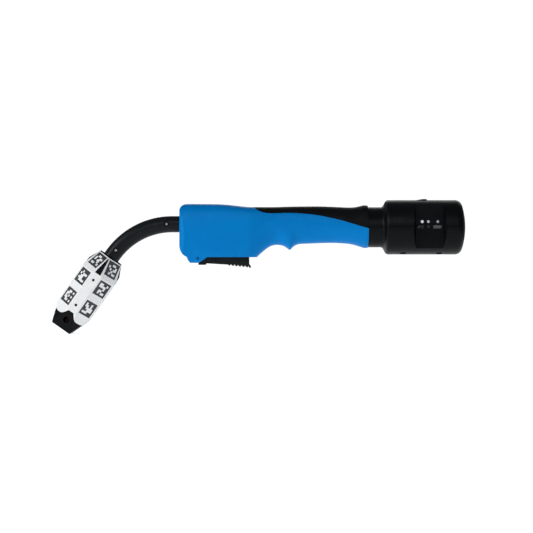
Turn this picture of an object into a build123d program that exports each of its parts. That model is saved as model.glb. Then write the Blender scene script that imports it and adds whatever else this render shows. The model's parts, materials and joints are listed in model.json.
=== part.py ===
from build123d import *
from math import atan2, copysign, cos, pi, radians, sin, sqrt, tan
import os

# Cordless welding torch for practice and tracking, in millimetres.
# Built about the handle: X = 0 is the handle's front face and runs to the rear, Y = 0 is the plane
# of symmetry with the left side at -Y, Z = 0 is the axis of the neck. On export everything moves so
# that the centre of the nozzle's mouth is the origin.

# ---- walls and clearances ----
wall = 2.8                # moulded handle wall
seam_gap = 0.1            # between moulded halves, on each side of the seam
slip_clearance = 0.15     # between pieces that are laid into each other
part_gap = 0.3            # between pieces that move past each other
pin_clearance = 0.05      # running fit of pins and plungers

# ---- handle ----
handle_length = 195.0
handle_half_width = 19.0
handle_top = 20.9
floor_level = -34.3       # flat underside round the trigger
guard_level = -40.2       # bottom of the cheeks in front of the trigger
front_round_top = 8.0     # radius of the front edge above
front_round_depth = 10.0  # the front edge below is an ellipse, this deep along X
front_round_rise = 13.0   # and this tall
underside_end = 79.5      # where the flat underside meets the finger grooves
saddle_start = 76.0
saddle_skin = 1.4         # soft grip over the hard halves

# ---- neck ----
neck_radius = 8.5
neck_bore = 5.2
neck_bend_radius = 76.0
neck_bend_angle = 55.0
neck_straight = 7.8       # from the handle's face to the start of the bend
neck_inside = 44.0        # length inside the handle
spine_width = 8.0
spine_thickness = 2.5

# ---- head, measured along its axis from the end of the bend ----
head_start = 2.5
head_length = 89.4
marker_apothem = 16.8     # axis to the four faces that carry markers
chamfer_apothem = 19.0    # axis to the four faces between them
rear_apothem = 9.2        # marker faces at the rear rim
rear_taper_length = 22.5
tip_taper_length = 21.6
tip_apothem = 10.9
head_wall = 2.4
spigot_radius = 7.0       # neck inside the head
spigot_length = 24.0
nozzle_radius = 6.5
nozzle_length = 6.0
nozzle_chamber_radius = 8.4
side_hole_radius = 3.4
label_thickness = 0.4

# ---- rear housing ----
housing_axis = -3.2       # height of its axis
collar_radius = 20.9
collar_length = 13.5
shoulder_length = 8.0
housing_radius = 28.3
housing_length = 101.0    # from the handle's rear edge to the top of the dome
dome_radius = 78.0
dome_round = 7.0
housing_wall = 2.6
recess_start = 243.5
recess_length = 28.0
recess_depth = 9.8
recess_draft = 17.0
recess_roof = 3.0
spigot_reach = 12.0       # of the housing into the handle
board_thickness = 1.6
board_drop = 1.65         # board's top below the parting line

# ---- trigger ----
pivot_x = 19.2
pivot_z = -35.6
trigger_width = 13.2
trigger_end = 72.0
trigger_travel = 5.0
trigger_top = -29.4
pin_radius = 1.5
plunger_reach = 14.9      # pivot to plunger
spring_reach = 32.8       # pivot to spring
spring_coil = 3.4
spring_wire = 0.45
spring_turns = 6.5


def smooth(points, x):
    """Value at x of a curve through the points that never overshoots them."""
    xs = [point[0] for point in points]
    zs = [point[1] for point in points]
    spans = [b - a for a, b in zip(xs, xs[1:])]
    rises = [(b - a) / span for a, b, span in zip(zs, zs[1:], spans)]
    slopes = [rises[0]]
    for i in range(1, len(rises)):
        before, after = rises[i - 1], rises[i]
        if before * after <= 0:
            slopes.append(0.0)
            continue
        near = 2 * spans[i] + spans[i - 1]
        far = spans[i] + 2 * spans[i - 1]
        slopes.append((near + far) / (near / before + far / after))
    slopes.append(rises[-1])
    x = min(max(x, xs[0]), xs[-1])
    i = max(k for k in range(len(spans)) if xs[k] <= x)
    t = (x - xs[i]) / spans[i]
    start = (2 * t**3 - 3 * t**2 + 1) * zs[i] + (t**3 - 2 * t**2 + t) * spans[i] * slopes[i]
    end = (3 * t**2 - 2 * t**3) * zs[i + 1] + (t**3 - t**2) * spans[i] * slopes[i + 1]
    return start + end


def along_y(radius, y0, y1, x, z):
    """Round bar from y0 to y1 at the given place in the side view."""
    return Pos(x, (y0 + y1) / 2, z) * Rot(90, 0, 0) * Cylinder(radius, y1 - y0)


def along_x(radius, x0, x1, y, z):
    return Pos((x0 + x1) / 2, y, z) * Rot(0, 90, 0) * Cylinder(radius, x1 - x0)


def upright(radius, z0, z1, x, y):
    return Pos(x, y, (z0 + z1) / 2) * Cylinder(radius, z1 - z0)


def block(x0, x1, y0, y1, z0, z1):
    return Pos((x0 + x1) / 2, (y0 + y1) / 2, (z0 + z1) / 2) * Box(x1 - x0, y1 - y0, z1 - z0)


def plate(points, y0, y1):
    """Side-view outline made solid from y0 to y1."""
    outline = Polyline(*[(x, 0, z) for x, z in points], close=True)
    face = make_face(outline)
    return extrude(Pos(0, y0, 0) * face, amount=y1 - y0, dir=(0, 1, 0))


def left_of(shape, gap=seam_gap):
    return shape & block(-200, 400, -100, -gap, -200, 100)


def right_of(shape, gap=seam_gap):
    return shape & block(-200, 400, gap, 100, -200, 100)


# ---- handle ----
top_line = [(0, handle_top), (42, handle_top - 0.3), (57, handle_top - 1.7), (73, handle_top - 3.2),
            (94, handle_top - 3.2), (120, handle_top - 2.6), (141, handle_top - 2.4),
            (162, handle_top - 3.0), (176, handle_top - 3.6), (handle_length - 7, handle_top - 2.2),
            (handle_length, handle_top - 1.7)]
grip_line = [(0, guard_level - 3.2), (64, guard_level - 3.2), (71, guard_level - 1.0),
             (underside_end, floor_level - 0.1), (84, -31.0), (88.9, -25.9),
             (94.1, -22.9), (100.5, -21.5), (106, -22.0), (110.5, -24.2), (114, -26.6), (117.2, -24.0),
             (120.5, -21.6), (125, -20.6), (134, -20.2), (156, -19.5), (167, -19.8), (178, -21.0),
             (handle_length - 7, -23.6), (handle_length, -24.6)]
width_line = [(0, handle_half_width), (40, handle_half_width + 0.4), (70, handle_half_width),
              (86, handle_half_width - 1.6), (104, handle_half_width - 2.5), (150, handle_half_width - 1.6),
              (178, handle_half_width + 0.4), (handle_length, handle_half_width + 2.6)]
crease_line = [(0, -12.0), (12, -9.0), (40, 0.0), (80, 6.2), (112, 3.0), (150, 0.5),
               (handle_length, -2.7)]
crease_depth = [(0, 0.035), (80, 0.035), (110, 0.0), (handle_length, 0.0)]
top_power = [(0, 3.4), (60, 3.2), (100, 2.5), (150, 2.2), (handle_length, 2.05)]
bottom_power = [(0, 4.5), (60, 4.5), (74, 4.2), (88, 3.2), (100, 2.6), (114, 3.2), (122, 2.5),
                (150, 2.25), (handle_length, 2.05)]
boundary_line = [(saddle_start, 18.2), (78.5, 15.8), (83.7, 12.6), (89, 11.2), (94, 10.8), (110, 11.2),
                 (125, 10.7), (136, 9.7), (146, 8.2), (156, 6.1), (167, 3.5), (177, 0.5),
                 (handle_length, -4.9)]


ridge_start, ridge_end = 104.0, 124.0


def handle_section(x, inset, count):
    """Closed ring of points round the grip at x, moved in by the inset."""
    line = grip_line if inset == 0 else [point for point in grip_line if not ridge_start < point[0] < ridge_end]
    top = smooth(top_line, x) - inset
    bottom = smooth(line, x) + inset
    half = smooth(width_line, x) - inset
    middle = smooth(crease_line, x)
    dip = smooth(crease_depth, x)
    points = []
    for i in range(count):
        angle = 2 * pi * (i + 0.5) / count
        upper = sin(angle) > 0
        power = smooth(top_power if upper else bottom_power, x)
        reach = top - middle if upper else middle - bottom
        rise = abs(sin(angle)) ** (2 / power)
        out = abs(cos(angle)) ** (2 / power) * (1 - dip * rise)
        points.append((x, copysign(half * out, cos(angle)), middle + copysign(reach * rise, sin(angle))))
    return points


def grip_loft(inset):
    """Lofted form of the whole handle before its front and underside are shaped."""
    stations = [0, 10, 22, 36, 50, 62, 72, 80, 87, 94, 100, 105, 109, 112, 114, 116, 119, 123, 129, 137, 147,
                158, 169, 178, 186, handle_length]
    count = 24
    if inset > 0:
        stations = [0, 20, 40, 60, 76, 90, 105, 122, 140, 160, 178, handle_length]
        count = 16
    rings = [Wire(Spline(*handle_section(x, inset, count), periodic=True)) for x in stations]
    return Solid.make_loft(rings)


def round_corner(x, y, a, b, start, stop):
    """Quarter-ellipse-like curve about (x, y) from one angle to another."""
    angles = [radians(start + (stop - start) * i / 6) for i in range(7)]
    return Spline(*[(x + a * cos(t), y + b * sin(t)) for t in angles])


def side_outline(inset):
    """Outline that shapes the handle's front, the cheeks and the flat underside, seen from the side."""
    low = guard_level + inset
    raised = floor_level + inset
    round_top = max(front_round_top - inset, 1)
    depth = max(front_round_depth - inset, 1)
    rise = max(front_round_rise - inset, 1)
    arc_top = round_corner(inset + round_top, handle_top - inset - round_top, round_top, round_top, 90, 180)
    arc_low = round_corner(inset + depth, raised + rise, depth, rise, 180, 256)
    cheek_x = front_round_depth + 1.2 + inset
    ramp = underside_end + inset
    points = [arc_low @ 1, (cheek_x - 1.9, low + 2.4), (cheek_x, low), (20.0 - inset, low), (28.8 - inset, raised),
              (ramp, raised), (ramp + 4, low - 12), (400, low - 12), (400, 60), (inset + round_top, 60),
              arc_top @ 0]
    outline = Curve() + [arc_top, Line(arc_top @ 1, arc_low @ 0), arc_low, Polyline(*points)]
    return extrude(Plane.XZ * make_face(outline), amount=60, both=True)


def plan_outline(inset):
    """Outline that rounds the handle's front corners, seen from above."""
    half = handle_half_width + 0.4 - inset
    corner = max(front_round_top - inset, 1)
    side = corner * 0.85
    left_arc = round_corner(inset + corner, side - half, corner, side, 180, 270)
    right_arc = round_corner(inset + corner, half - side, corner, side, 90, 180)
    rest = Polyline(left_arc @ 1, (inset + corner, -60), (400, -60), (400, 60), (inset + corner, 60), right_arc @ 0)
    outline = Curve() + [right_arc, Line(right_arc @ 1, left_arc @ 0), left_arc, rest]
    return extrude(Pos(0, 0, -60) * make_face(outline), amount=120)


def handle_body(inset):
    return grip_loft(inset) & (side_outline(inset) & plan_outline(inset))


def above_boundary(shift):
    """Region that the soft grip fills, its lower edge moved up by the shift."""
    edge = Spline(*[(x, 0, z + shift) for x, z in boundary_line])
    first, last = edge @ 0, edge @ 1
    rim = Polyline(last, (handle_length + 5, 0, last.Z - 1), (handle_length + 5, 0, 60),
                   (saddle_start - 4, 0, 60), (saddle_start - 4, 0, first.Z + 3), first)
    return extrude(Pos(0, -60, 0) * make_face(Curve() + [edge, rim]), amount=120, dir=(0, 1, 0))


neck_hole = neck_radius + slip_clearance
ring_start, ring_end = 20.0, 28.0
rib_width = 3.0
rear_rib_start = handle_length - 9
rear_rib_radius = 13.8
boss_radius = 3.4
screw_radius = 1.5
screw_head_radius = 2.8
handle_screw_places = [(13, 13.8), (14, -22), (60, 10), (86, -14), (132, -8), (166, -9)]


def bulkhead(x0, x1, hole, z=0.0, foot=-60):
    """Cross wall inside the handle with a round opening, standing up from its foot."""
    return block(x0, x1, -60, 60, foot, 60) - along_x(hole, x0 - 1, x1 + 1, 0, z)


slot_half = trigger_width / 2 + part_gap
slot_front = pivot_x - 4.2
slot_rear = trigger_end + 2.2
switch_x0 = pivot_x + plunger_reach - 7.0
switch_length = 19.8
switch_bottom = -25.0
switch_height = 10.2
switch_half = 3.2
switch_hole_places = [(switch_x0 + 5.1, switch_bottom + 5.0), (switch_x0 + 14.6, switch_bottom + 5.0)]
spring_top = -17.0


def handle_ribs():
    """Everything that stands inside the handle's cavity, before it is trimmed by the skin."""
    ribs = bulkhead(ring_start - rib_width - part_gap, ring_start - part_gap, neck_hole)
    ribs = ribs + bulkhead(ring_end + part_gap, ring_end + part_gap + rib_width, neck_hole, foot=-10.5)
    ribs = ribs + bulkhead(rear_rib_start, rear_rib_start + rib_width, rear_rib_radius, housing_axis)
    ribs = ribs + block(0, 29, -60, 60, -60, floor_level + wall)
    for x, z in handle_screw_places:
        ribs = ribs + along_y(boss_radius, -30, 30, x, z)
    spring_x = pivot_x + spring_reach
    ribs = ribs + block(spring_x - 5, spring_x + 5, -30, 30, spring_top, spring_top + 2)
    seat = block(switch_x0 - 1, switch_x0 + switch_length + 1, -30, -switch_half, switch_bottom + 0.5,
                 switch_bottom + switch_height)
    return ribs + seat


def make_handle(outer, skinned):
    inner = handle_body(wall) & block(wall, handle_length + 1, -60, 60, -60, 60)
    shell = outer - (inner - handle_ribs())
    shell = shell - (above_boundary(0) - skinned)
    shell = shell - along_x(neck_hole, -5, ring_start, 0, 0)
    shell = shell - block(slot_front, slot_rear, -slot_half, slot_half, -60, trigger_top + 2.2)
    shell = shell - along_y(pin_radius + pin_clearance, -30, 30, pivot_x, pivot_z)
    left = left_of(shell)
    right = right_of(shell)
    for x, z in switch_hole_places:
        left = left - along_y(1.15, -switch_half - 8, 0, x, z)
    for x, z in handle_screw_places:
        right = right - along_y(screw_head_radius + slip_clearance, screw_seat(x), 40, x, z)
        right = right - along_y(screw_radius + slip_clearance, -1, 40, x, z)
        left = left - along_y(screw_radius, -screw_grip, 1, x, z)
    return left, right


screw_grip = 7.0


def screw_seat(x):
    """Depth at which a handle screw's head rests, below the skin there."""
    return smooth(width_line, x) - 6.5


def make_handle_screws():
    screws = []
    for x, z in handle_screw_places:
        seat = screw_seat(x)
        screw = along_y(screw_head_radius, seat, seat + 2.2, x, z)
        screw = screw + along_y(screw_radius, -screw_grip + 0.5, seat, x, z)
        screw = screw - along_y(1.2, seat + 0.9, seat + 3, x, z)
        screws.append(screw)
    return Compound(screws)


def make_saddle(outer, skinned):
    return outer & (above_boundary(seam_gap) - skinned)


# ---- neck ----
bend_start = Vector(-neck_straight, 0, 0)
bend_centre = Vector(-neck_straight, 0, -neck_bend_radius)


def on_bend(angle):
    """Centre of the neck after turning by the angle."""
    x = bend_centre.X - neck_bend_radius * sin(radians(angle))
    z = bend_centre.Z + neck_bend_radius * cos(radians(angle))
    return Vector(x, 0, z)


head_axis = Vector(-cos(radians(neck_bend_angle)), 0, -sin(radians(neck_bend_angle)))
head_frame = Plane(origin=on_bend(neck_bend_angle), x_dir=(0, 1, 0), z_dir=head_axis)
mouth = head_frame.from_local_coords(Vector(0, 0, head_start + head_length))
neck_screw_places = [Vector(-13.5, 0, 0), on_bend(50)]
neck_screw_radius = 1.25
neck_screw_head = 2.1
neck_counterbore = 2.9
neck_seat = neck_radius - 1.9


def neck_run(profile, tail, lead=0.0):
    """Profile carried along the neck: straight in the handle, round the bend, straight in the head."""
    start = Plane(origin=(neck_inside + lead, 0, 0), x_dir=(0, 1, 0), z_dir=(-1, 0, 0))
    turn = Plane(origin=bend_start, x_dir=(0, 1, 0), z_dir=(-1, 0, 0))
    axis = Axis(bend_centre, (0, -1, 0))
    run = extrude(start * profile, amount=neck_inside + lead + neck_straight)
    run = run + revolve(turn * profile, axis=axis, revolution_arc=neck_bend_angle)
    run = run + extrude(head_frame * profile, amount=tail)
    return run


def in_head(shape):
    return head_frame.location * shape


def make_neck():
    tube = neck_run(Circle(neck_radius), head_start - slip_clearance)
    tube = tube + in_head(Pos(0, 0, spigot_length / 2) * Cylinder(spigot_radius, spigot_length))
    flange = Pos(0, 0, spigot_length - 2) * Cylinder(spigot_radius + 2, 3)
    tube = tube + in_head(flange)
    hollow = neck_run(Circle(neck_bore), spigot_length + 1, 1.0)
    shell = tube - hollow
    spine_half = spine_thickness / 2 + slip_clearance
    for place in neck_screw_places:
        post = along_y(3.3, -neck_bore - 0.5, neck_bore + 0.5, place.X, place.Z)
        shell = shell + (post - block(-200, 100, -spine_half, spine_half, -200, 100))
    left, right = left_of(shell), right_of(shell)
    for place in neck_screw_places:
        left = left - along_y(neck_counterbore, -20, -neck_seat, place.X, place.Z)
        left = left - along_y(neck_screw_radius + slip_clearance, -20, 1, place.X, place.Z)
        right = right - along_y(neck_screw_radius, -1, 6, place.X, place.Z)
    return left, right


def make_spine():
    strip = neck_run(Rectangle(spine_thickness, spine_width), spigot_length - 1)
    for place in neck_screw_places:
        strip = strip - along_y(neck_screw_radius + slip_clearance, -5, 5, place.X, place.Z)
    return strip


def make_neck_screws():
    screws = []
    for place in neck_screw_places:
        dome_radius_here = 2.6
        head = along_y(neck_screw_head, -neck_seat - 1.5, -neck_seat, place.X, place.Z)
        ball_y = -neck_seat - 1.5 + dome_radius_here
        head = head & Pos(place.X, ball_y, place.Z) * Sphere(dome_radius_here)
        shank = along_y(neck_screw_radius, -neck_seat - 0.2, 5.5, place.X, place.Z)
        screws.append(head + shank - along_y(0.75, -20, -neck_seat - 0.6, place.X, place.Z))
    return Compound(screws)


def make_clamp_ring():
    ring = along_x(neck_radius + 3.2, ring_start, ring_end, 0, 0)
    lug = block(ring_start, ring_end, -5, 5, neck_radius, neck_radius + 6.5)
    ring = ring + lug - along_x(neck_radius + 0.02, ring_start - 1, ring_end + 1, 0, 0)
    ring = ring - block(ring_start - 1, ring_end + 1, -0.6, 0.6, 0, 30)
    x = (ring_start + ring_end) / 2
    z = neck_radius + 4.4
    return ring - along_y(1.35, -6, 6, x, z)


def make_clamp_screw():
    x = (ring_start + ring_end) / 2
    z = neck_radius + 4.4
    screw = along_y(1.25, -5.2, 5, x, z) + along_y(2.0, 5, 7, x, z)
    return screw - along_y(1.0, 6.1, 8, x, z)


# ---- head ----
head_end = head_start + head_length
rear_taper_end = head_start + rear_taper_length
tip_taper_start = head_end - tip_taper_length


def square_run(stations, turn):
    """Square bar along the head's axis; each station is a distance and an apothem."""
    bar = None
    for (s0, a0), (s1, a1) in zip(stations, stations[1:]):
        first = Pos(0, 0, s0) * Rot(0, 0, turn) * Rectangle(2 * a0, 2 * a0)
        last = Pos(0, 0, s1) * Rot(0, 0, turn) * Rectangle(2 * a1, 2 * a1)
        step = loft([first, last])
        bar = step if bar is None else bar + step
    return bar


def marker_bar(grow, start=head_start, end=head_end):
    """The four marker faces and the rear taper, moved out by grow."""
    slope = (marker_apothem - rear_apothem) / rear_taper_length
    rear = rear_apothem + slope * (start - head_start)
    return square_run([(start, rear + grow), (rear_taper_end, marker_apothem + grow),
                       (end, marker_apothem + grow)], 45)


def chamfer_bar(grow, start=head_start, end=head_end):
    """The four narrow faces and the tip's taper, moved out by grow."""
    slope = (chamfer_apothem - tip_apothem) / tip_taper_length
    tip = tip_apothem + slope * (head_end - end)
    return square_run([(start, chamfer_apothem + grow), (tip_taper_start, chamfer_apothem + grow),
                       (end, tip + grow)], 0)


def ring_solid(outer, inner, s0, s1):
    tube = Cylinder(outer, s1 - s0) - Cylinder(inner, s1 - s0 + 2)
    return Pos(0, 0, (s0 + s1) / 2) * tube


def bar_solid(radius, s0, s1):
    return Pos(0, 0, (s0 + s1) / 2) * Cylinder(radius, s1 - s0)


side_hole_at = head_end - 10.8
holder_start, holder_end = 68.0, 74.5
holder_radius = 8.0
head_screw_places = [31.2, 62.4]
head_screw_radius = 1.0
head_screw_head = 1.35


def head_crossbar(radius, y0, y1, s):
    """Round bar across the head, along Y, at the distance s."""
    return Pos((y0 + y1) / 2, 0, s) * Rot(0, 90, 0) * Cylinder(radius, y1 - y0)


def make_head_shells():
    body = marker_bar(0) & chamfer_bar(0)
    body = fillet(body.faces().sort_by(Axis.Z)[-1].edges(), 1.4)
    cavity_start = head_start + 4.0
    cavity_end = head_end - 20.0
    cavity = marker_bar(-head_wall) & chamfer_bar(-head_wall)
    cavity = cavity & (Pos(0, 0, (cavity_start + cavity_end) / 2) * Box(60, 60, cavity_end - cavity_start))
    shell = body - cavity
    flange_at = spigot_length - 2
    for s0 in (flange_at - 1.5 - part_gap - 2.4, flange_at + 1.5 + part_gap):
        web = body & (Pos(0, 0, s0 + 1.2) * Box(60, 60, 2.4))
        shell = shell + (web - bar_solid(spigot_radius + slip_clearance, s0 - 1, s0 + 4))
    web = body & (Pos(0, 0, (holder_start + holder_end) / 2) * Box(60, 60, holder_end - holder_start))
    shell = shell + (web - bar_solid(holder_radius + slip_clearance, holder_start - 1, holder_end + 1))
    for s in head_screw_places:
        shell = shell + (head_crossbar(2.6, -chamfer_apothem, chamfer_apothem, s) & body)
    shell = shell - bar_solid(spigot_radius + slip_clearance, head_start - 2, cavity_start + 1)
    shell = shell - bar_solid(nozzle_chamber_radius, cavity_end - 2, head_end - nozzle_length - 2)
    shell = shell - bar_solid(nozzle_radius + 1.6, head_end - nozzle_length - 3, head_end + 2)
    shell = shell - head_crossbar(side_hole_radius, -30, 30, side_hole_at)
    left = shell & (Pos(-30 - seam_gap, 0, 45) * Box(60, 80, 140))
    right = shell & (Pos(30 + seam_gap, 0, 45) * Box(60, 80, 140))
    for s in head_screw_places:
        left = left - head_crossbar(head_screw_head + 0.1, -30, -chamfer_apothem + 2.2, s)
        left = left - head_crossbar(head_screw_radius + 0.1, -30, 1, s)
        right = right - head_crossbar(head_screw_radius, -1, 9, s)
    return in_head(left), in_head(right)


def make_head_screws():
    screws = []
    for s in head_screw_places:
        seat = -chamfer_apothem + 2.2
        screw = head_crossbar(head_screw_head, seat - 1.6, seat, s)
        screw = screw + head_crossbar(head_screw_radius, seat - 0.1, 8.5, s)
        screws.append(in_head(screw - head_crossbar(0.65, -30, seat - 0.8, s)))
    return Compound(screws)


label_start = head_start + 1.2
label_notch = tip_taper_start + 0.5     # top of the notches over the narrow faces
label_flare = tip_taper_start + 5.0     # where a notch's sides turn outwards
label_end = tip_taper_start + 7.8       # lowest point of the lobes on the marker faces
label_notch_half = 2.9
label_flare_half = 6.2
label_lobe_middle = 11.9                # across, from a notch's middle to a lobe's lowest point
label_gap_narrow = 0.7
label_gap_wide = 3.4
label_gap_start = head_start + 2.4
label_gap_end = head_start + 21.0


def label_notch_bar():
    """Bar across the head that cuts the notches of two opposite narrow faces."""
    low = head_end
    bend_across = label_flare_half + (label_lobe_middle - label_flare_half) * 0.42
    bend_along = label_flare + (label_end - label_flare) * 0.78
    right = [Line((label_notch_half, 0, label_notch), (label_flare_half, 0, label_flare)),
             ThreePointArc((label_flare_half, 0, label_flare), (bend_across, 0, bend_along),
                           (label_lobe_middle, 0, label_end)),
             Line((label_lobe_middle, 0, label_end), (label_lobe_middle, 0, low))]
    left = [mirror(line, about=Plane.YZ) for line in right]
    ends = [Line((-label_notch_half, 0, label_notch), (label_notch_half, 0, label_notch)),
            Line((-label_lobe_middle, 0, low), (label_lobe_middle, 0, low))]
    return extrude(Pos(0, -30, 0) * make_face(right + left + ends), amount=60, dir=(0, 1, 0))


def make_labels():
    grown = marker_bar(label_thickness) & chamfer_bar(label_thickness)
    skin = grown - (marker_bar(0) & chamfer_bar(0))
    label = skin & (Pos(0, 0, (label_start + label_end) / 2) * Box(60, 60, label_end - label_start))
    label = label - label_notch_bar() - Rot(0, 0, 90) * label_notch_bar()
    gap = Polyline((-label_gap_narrow, 0, label_gap_start), (label_gap_narrow, 0, label_gap_start),
                   (label_gap_wide, 0, label_gap_end), (-label_gap_wide, 0, label_gap_end), close=True)
    wedge = extrude(Pos(0, -30, 0) * make_face(gap), amount=60, dir=(0, 1, 0))
    label = label - wedge - Rot(0, 0, 90) * wedge
    for s in head_screw_places:
        label = label - head_crossbar(head_screw_head + 0.1, -30, -chamfer_apothem + 2, s)
    left = label & (Pos(-30 - 2 * seam_gap, 0, 45) * Box(60, 80, 140))
    right = label & (Pos(30 + 2 * seam_gap, 0, 45) * Box(60, 80, 140))
    return in_head(left), in_head(right)


def make_nozzle_ring():
    outer = nozzle_radius + 1.6 - 0.05
    ring = ring_solid(outer, nozzle_radius, head_end - nozzle_length, head_end)
    return in_head(ring)


def make_tip_holder():
    holder = bar_solid(holder_radius, holder_start, holder_end)
    holder = holder + bar_solid(5.0, holder_end, holder_end + 4.5)
    return in_head(holder - bar_solid(2.2, holder_start - 1, holder_end + 6))


def make_contact_tip():
    tip = bar_solid(2.15, holder_start + 3, holder_end + 4.5)
    tip = tip + bar_solid(3.4, holder_end + 4.5, head_end - 11)
    nose = Pos(0, 0, head_end - 9.5) * Cone(3.4, 2.0, 3)
    return in_head(tip + nose - bar_solid(0.5, holder_start, head_end))


def make_neck_seal():
    seal = ring_solid(spigot_radius + 0.95, spigot_radius + 0.05, head_start + 4.1, head_start + 5.5)
    return in_head(seal)


# ---- trigger ----
teeth_start = 50.0
teeth_end_level = -44.6
teeth_start_level = -42.4
tooth_count = 6
tooth_depth = 1.8
plunger_tip = -27.4
spring_bottom = -38.6


def make_trigger():
    half = trigger_width / 2
    tooth = (trigger_end - teeth_start) / tooth_count
    fall = (teeth_end_level - teeth_start_level) / (trigger_end - teeth_start)
    ridge = [(19.4, pivot_z), (19.4, -42.3), (26.6, -42.3), (27.5, -40.8)]
    for i in range(tooth_count):
        x = teeth_start + i * tooth
        z = teeth_start_level + fall * (x - teeth_start)
        ridge = ridge + [(x, z + 0.3), (x + tooth * 0.3, z - 0.35 * tooth_depth),
                         (x + tooth * 0.6, z - 0.35 * tooth_depth), (x + tooth * 0.8, z + 0.65 * tooth_depth)]
    ridge = ridge + [(trigger_end, -45.3), (trigger_end + 1.6, -45.5), (trigger_end + 1.7, -43.4),
                     (trigger_end, -41.4), (trigger_end, trigger_top), (30, trigger_top),
                     (23.5, pivot_z + 3.3)]
    lever = plate(ridge, -half, half)
    lever = lever + along_y(3.3, -half, half, pivot_x, pivot_z)
    lever = lever - plate([(31, -37.8), (58, -39), (trigger_end - 3, -39.6), (trigger_end - 3, 0), (31, 0)],
                          -half + 2, half - 2)
    lever = lever + block(trigger_end - 12, trigger_end - 1, -half - 2.6, half + 2.6, floor_level + wall + 0.3,
                          trigger_top)
    lever = lever - block(trigger_end - 10, trigger_end - 3, -half + 2, half - 2, -39, 0)
    for side in (-1, 1):
        lever = lever - block(69.5, 70.3, side * half - 0.5, side * half + 0.5, -41.4, floor_level + wall)
    rib_x = pivot_x + plunger_reach
    lever = lever + block(rib_x - 1.6, rib_x + 1.6, -half + 1, half - 1, -40, plunger_tip - 0.12)
    seat_x = pivot_x + spring_reach
    lever = lever + upright(spring_coil - spring_wire - 0.3, -41, spring_bottom + 2, seat_x, 0)
    return lever - along_y(pin_radius + pin_clearance, -20, 20, pivot_x, pivot_z)



def make_trigger_pin():
    return along_y(pin_radius, -15.5, 15.5, pivot_x, pivot_z)


def make_trigger_spring():
    """Helical spring between the trigger's pocket and its seat in the handle."""
    height = spring_top - spring_bottom - 2 * spring_wire - 0.2
    pitch = height / spring_turns
    path = Helix(pitch, height, spring_coil)
    tangent = path % 0
    section = Plane(origin=path @ 0, z_dir=tangent) * Circle(spring_wire)
    coil = sweep(section, path=path, is_frenet=True)
    return Pos(pivot_x + spring_reach, 0, spring_bottom + spring_wire + 0.1) * coil


def make_microswitch():
    x1 = switch_x0 + switch_length
    body = block(switch_x0, x1, -switch_half, switch_half, switch_bottom, switch_bottom + switch_height)
    body = fillet(body.edges().filter_by(Axis.Y), 0.6)
    for x, z in switch_hole_places:
        body = body - along_y(1.2, -5, 5, x, z)
    px = pivot_x + plunger_reach
    plunger_well = block(px - 1.5 - pin_clearance, px + 1.5 + pin_clearance, -1.6 - pin_clearance,
                         1.6 + pin_clearance, switch_bottom - 1, switch_bottom + 3.2)
    plunger = block(px - 1.5, px + 1.5, -1.6, 1.6, plunger_tip, switch_bottom + 1.6)
    plunger = fillet(plunger.faces().sort_by(Axis.Z)[0].edges().filter_by(Axis.Y), 0.8)
    return body - plunger_well, plunger


def make_terminals():
    blades = []
    top = switch_bottom + switch_height
    for x in (switch_x0 + 1.6, switch_x0 + 9.9, switch_x0 + 18.2):
        blade = block(x - 0.25, x + 0.25, -1.6, 1.6, top, top + 3.6)
        blades.append(blade - along_x(0.6, x - 1, x + 1, 0, top + 2.2))
    return Compound(blades)


def make_switch_screws():
    screws = []
    for x, z in switch_hole_places:
        screw = along_y(1.15, -switch_half - 7.5, switch_half, x, z)
        screws.append(screw + along_y(2.0, switch_half, switch_half + 1.4, x, z))
    return Compound(screws)


def make_switch_leads():
    """Two leads from the switch's terminals to the board, straight runs joined by round bends."""
    top = switch_bottom + switch_height + 4.4
    leads = []
    for y, x in ((-1.0, switch_x0 + 18.2), (1.0, switch_x0 + 9.9)):
        points = [(x, y, top), (x + 14, y, top + 0.8), (x + 70, y, 2.0), (handle_length - 20, y, -1.5),
                  (board_x0 + 1, y, housing_axis - board_drop + 1.0)]
        path = FilletPolyline(*points, radius=8)
        section = Plane(origin=path @ 0, z_dir=path % 0) * Circle(0.7)
        leads.append(sweep(section, path=path))
    return Compound(leads)


# ---- rear housing ----
housing_start = handle_length
body_start = housing_start + collar_length + shoulder_length
housing_end = housing_start + housing_length
board_x0 = body_start + 4.0
board_x1 = housing_end - 12.0
board_half = housing_radius - 9.3
board_top = housing_axis - board_drop
recess_floor = housing_radius - recess_depth
board_edge = recess_floor
case_screw_places = [(231.3, -7.5), (231.3, 7.5), (268.7, -7.5), (268.7, 7.5)]
case_boss_radius = 3.6
case_screw_radius = 1.5
case_screw_head = 2.8
case_screw_seat = housing_axis - 17.0
board_screw_places = [(board_x0 + 4, 4.5 - board_half), (board_x0 + 4, board_half - 4.5),
                      (board_x1 - 5, 6.0 - board_half), (board_x1 - 5, board_half - 6.0)]


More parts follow.
